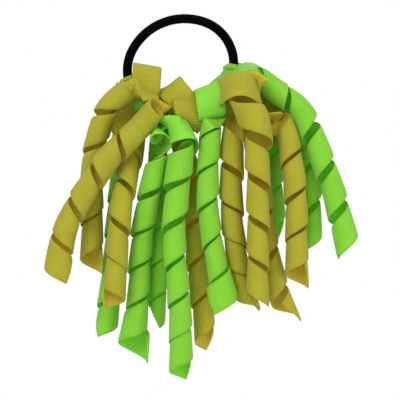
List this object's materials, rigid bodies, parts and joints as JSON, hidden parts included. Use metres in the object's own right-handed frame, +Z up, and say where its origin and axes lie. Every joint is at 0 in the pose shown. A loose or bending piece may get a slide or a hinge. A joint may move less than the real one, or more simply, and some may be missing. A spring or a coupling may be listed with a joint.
{
  "type": "hair bow",
  "caption": "Cheer hair bow: corkscrew-curled grosgrain ribbons in mustard yellow and neon green knotted round a black covered hair elastic.",
  "frame": {"origin": "centre of the hair elastic's loop, where the ponytail passes", "axes": "+Z up with the ribbons hanging down, +Y along the ponytail into the head, +X to the right seen from behind the wearer"},
  "size_m": [0.1146, 0.0334, 0.1368],
  "materials": {
    "elastic_cover": "matte braided polyester",
    "rubber_core": "matte",
    "yellow_ribbon": "ribbed grosgrain with a slight sheen",
    "green_ribbon": "ribbed grosgrain with a slight sheen"
  },
  "bodies": {
    "elastic": {"elastic_core": "rubber_core", "elastic_sleeve": "elastic_cover", "yellow_ribbon_1_knot": "yellow_ribbon", "green_ribbon_1_knot": "green_ribbon", "yellow_ribbon_2_knot": "yellow_ribbon", "green_ribbon_2_knot": "green_ribbon", "green_ribbon_3_knot": "green_ribbon", "yellow_ribbon_3_knot": "yellow_ribbon", "yellow_ribbon_4_knot": "yellow_ribbon", "green_ribbon_4_knot": "green_ribbon"},
    "yellow_ribbon_1_tail_left": {"yellow_ribbon_1_tail_left": "yellow_ribbon"},
    "yellow_ribbon_1_tail_right": {"yellow_ribbon_1_tail_right": "yellow_ribbon"},
    "green_ribbon_1_tail_left": {"green_ribbon_1_tail_left": "green_ribbon"},
    "green_ribbon_1_tail_right": {"green_ribbon_1_tail_right": "green_ribbon"},
    "yellow_ribbon_2_tail_left": {"yellow_ribbon_2_tail_left": "yellow_ribbon"},
    "yellow_ribbon_2_tail_right": {"yellow_ribbon_2_tail_right": "yellow_ribbon"},
    "green_ribbon_2_tail_left": {"green_ribbon_2_tail_left": "green_ribbon"},
    "green_ribbon_2_tail_right": {"green_ribbon_2_tail_right": "green_ribbon"},
    "green_ribbon_3_tail_left": {"green_ribbon_3_tail_left": "green_ribbon"},
    "green_ribbon_3_tail_right": {"green_ribbon_3_tail_right": "green_ribbon"},
    "yellow_ribbon_3_tail_left": {"yellow_ribbon_3_tail_left": "yellow_ribbon"},
    "yellow_ribbon_3_tail_right": {"yellow_ribbon_3_tail_right": "yellow_ribbon"},
    "yellow_ribbon_4_tail_left": {"yellow_ribbon_4_tail_left": "yellow_ribbon"},
    "yellow_ribbon_4_tail_right": {"yellow_ribbon_4_tail_right": "yellow_ribbon"},
    "green_ribbon_4_tail_left": {"green_ribbon_4_tail_left": "green_ribbon"},
    "green_ribbon_4_tail_right": {"green_ribbon_4_tail_right": "green_ribbon"}
  },
  "joints": [
    {"name": "yellow_ribbon_1_tail_left_swing", "type": "hinge", "parent": "elastic", "child": "yellow_ribbon_1_tail_left", "pos_m": [-0.0258, -0.0025, -0.0068], "axis": [1, 0, 0], "range_deg": [0, 3]},
    {"name": "yellow_ribbon_1_tail_right_swing", "type": "hinge", "parent": "elastic", "child": "yellow_ribbon_1_tail_right", "pos_m": [-0.0174, 0.0065, -0.0219], "axis": [-1, 0, 0], "range_deg": [0, 4]},
    {"name": "green_ribbon_1_tail_left_swing", "type": "hinge", "parent": "elastic", "child": "green_ribbon_1_tail_left", "pos_m": [-0.0191, 0.0055, -0.0085], "axis": [1, 0, 0], "range_deg": [0, 60]},
    {"name": "green_ribbon_1_tail_right_swing", "type": "hinge", "parent": "elastic", "child": "green_ribbon_1_tail_right", "pos_m": [-0.0083, 0.003, -0.0188], "axis": [1, 0, 0], "range_deg": [0, 45]},
    {"name": "yellow_ribbon_2_tail_left_swing", "type": "hinge", "parent": "elastic", "child": "yellow_ribbon_2_tail_left", "pos_m": [-0.0117, -0.0053, -0.0132], "axis": [-1, 0, 0], "range_deg": [0, 70]},
    {"name": "yellow_ribbon_2_tail_right_swing", "type": "hinge", "parent": "elastic", "child": "yellow_ribbon_2_tail_right", "pos_m": [0.0015, 0.0015, -0.0148], "axis": [1, 0, 0], "range_deg": [0, 60]},
    {"name": "green_ribbon_2_tail_left_swing", "type": "hinge", "parent": "elastic", "child": "green_ribbon_2_tail_left", "pos_m": [-0.0064, -0.002, -0.0196], "axis": [-1, 0, 0], "range_deg": [0, 5]},
    {"name": "green_ribbon_2_tail_right_swing", "type": "hinge", "parent": "elastic", "child": "green_ribbon_2_tail_right", "pos_m": [0.0022, -0.004, -0.0208], "axis": [-1, 0, 0], "range_deg": [0, 70]},
    {"name": "green_ribbon_3_tail_left_swing", "type": "hinge", "parent": "elastic", "child": "green_ribbon_3_tail_left", "pos_m": [0.0118, -0.0036, -0.016], "axis": [-1, 0, 0], "range_deg": [0, 55]},
    {"name": "green_ribbon_3_tail_right_swing", "type": "hinge", "parent": "elastic", "child": "green_ribbon_3_tail_right", "pos_m": [0.028, -0.0006, 0.0083], "axis": [-1, 0, 0], "range_deg": [0, 70]},
    {"name": "yellow_ribbon_3_tail_left_swing", "type": "hinge", "parent": "elastic", "child": "yellow_ribbon_3_tail_left", "pos_m": [0.0207, -0.0073, -0.0138], "axis": [1, 0, 0], "range_deg": [0, 3]},
    {"name": "yellow_ribbon_3_tail_right_swing", "type": "hinge", "parent": "elastic", "child": "yellow_ribbon_3_tail_right", "pos_m": [0.0291, -0.0093, -0.0152], "axis": [-1, 0, 0], "range_deg": [0, 15]},
    {"name": "yellow_ribbon_4_tail_left_swing", "type": "hinge", "parent": "elastic", "child": "yellow_ribbon_4_tail_left", "pos_m": [0.0229, -0.0035, -0.0074], "axis": [1, 0, 0], "range_deg": [0, 2.5]},
    {"name": "yellow_ribbon_4_tail_right_swing", "type": "hinge", "parent": "elastic", "child": "yellow_ribbon_4_tail_right", "pos_m": [0.0275, -0.0046, -0.0025], "axis": [-1, 0, 0], "range_deg": [0, 3.2]},
    {"name": "green_ribbon_4_tail_left_swing", "type": "hinge", "parent": "elastic", "child": "green_ribbon_4_tail_left", "pos_m": [0.03, 0.008, -0.0066], "axis": [1, 0, 0], "range_deg": [0, 35]},
    {"name": "green_ribbon_4_tail_right_swing", "type": "hinge", "parent": "elastic", "child": "green_ribbon_4_tail_right", "pos_m": [0.0274, 0.0024, 0.0036], "axis": [1, 0, 0], "range_deg": [0, 60]}
  ]
}
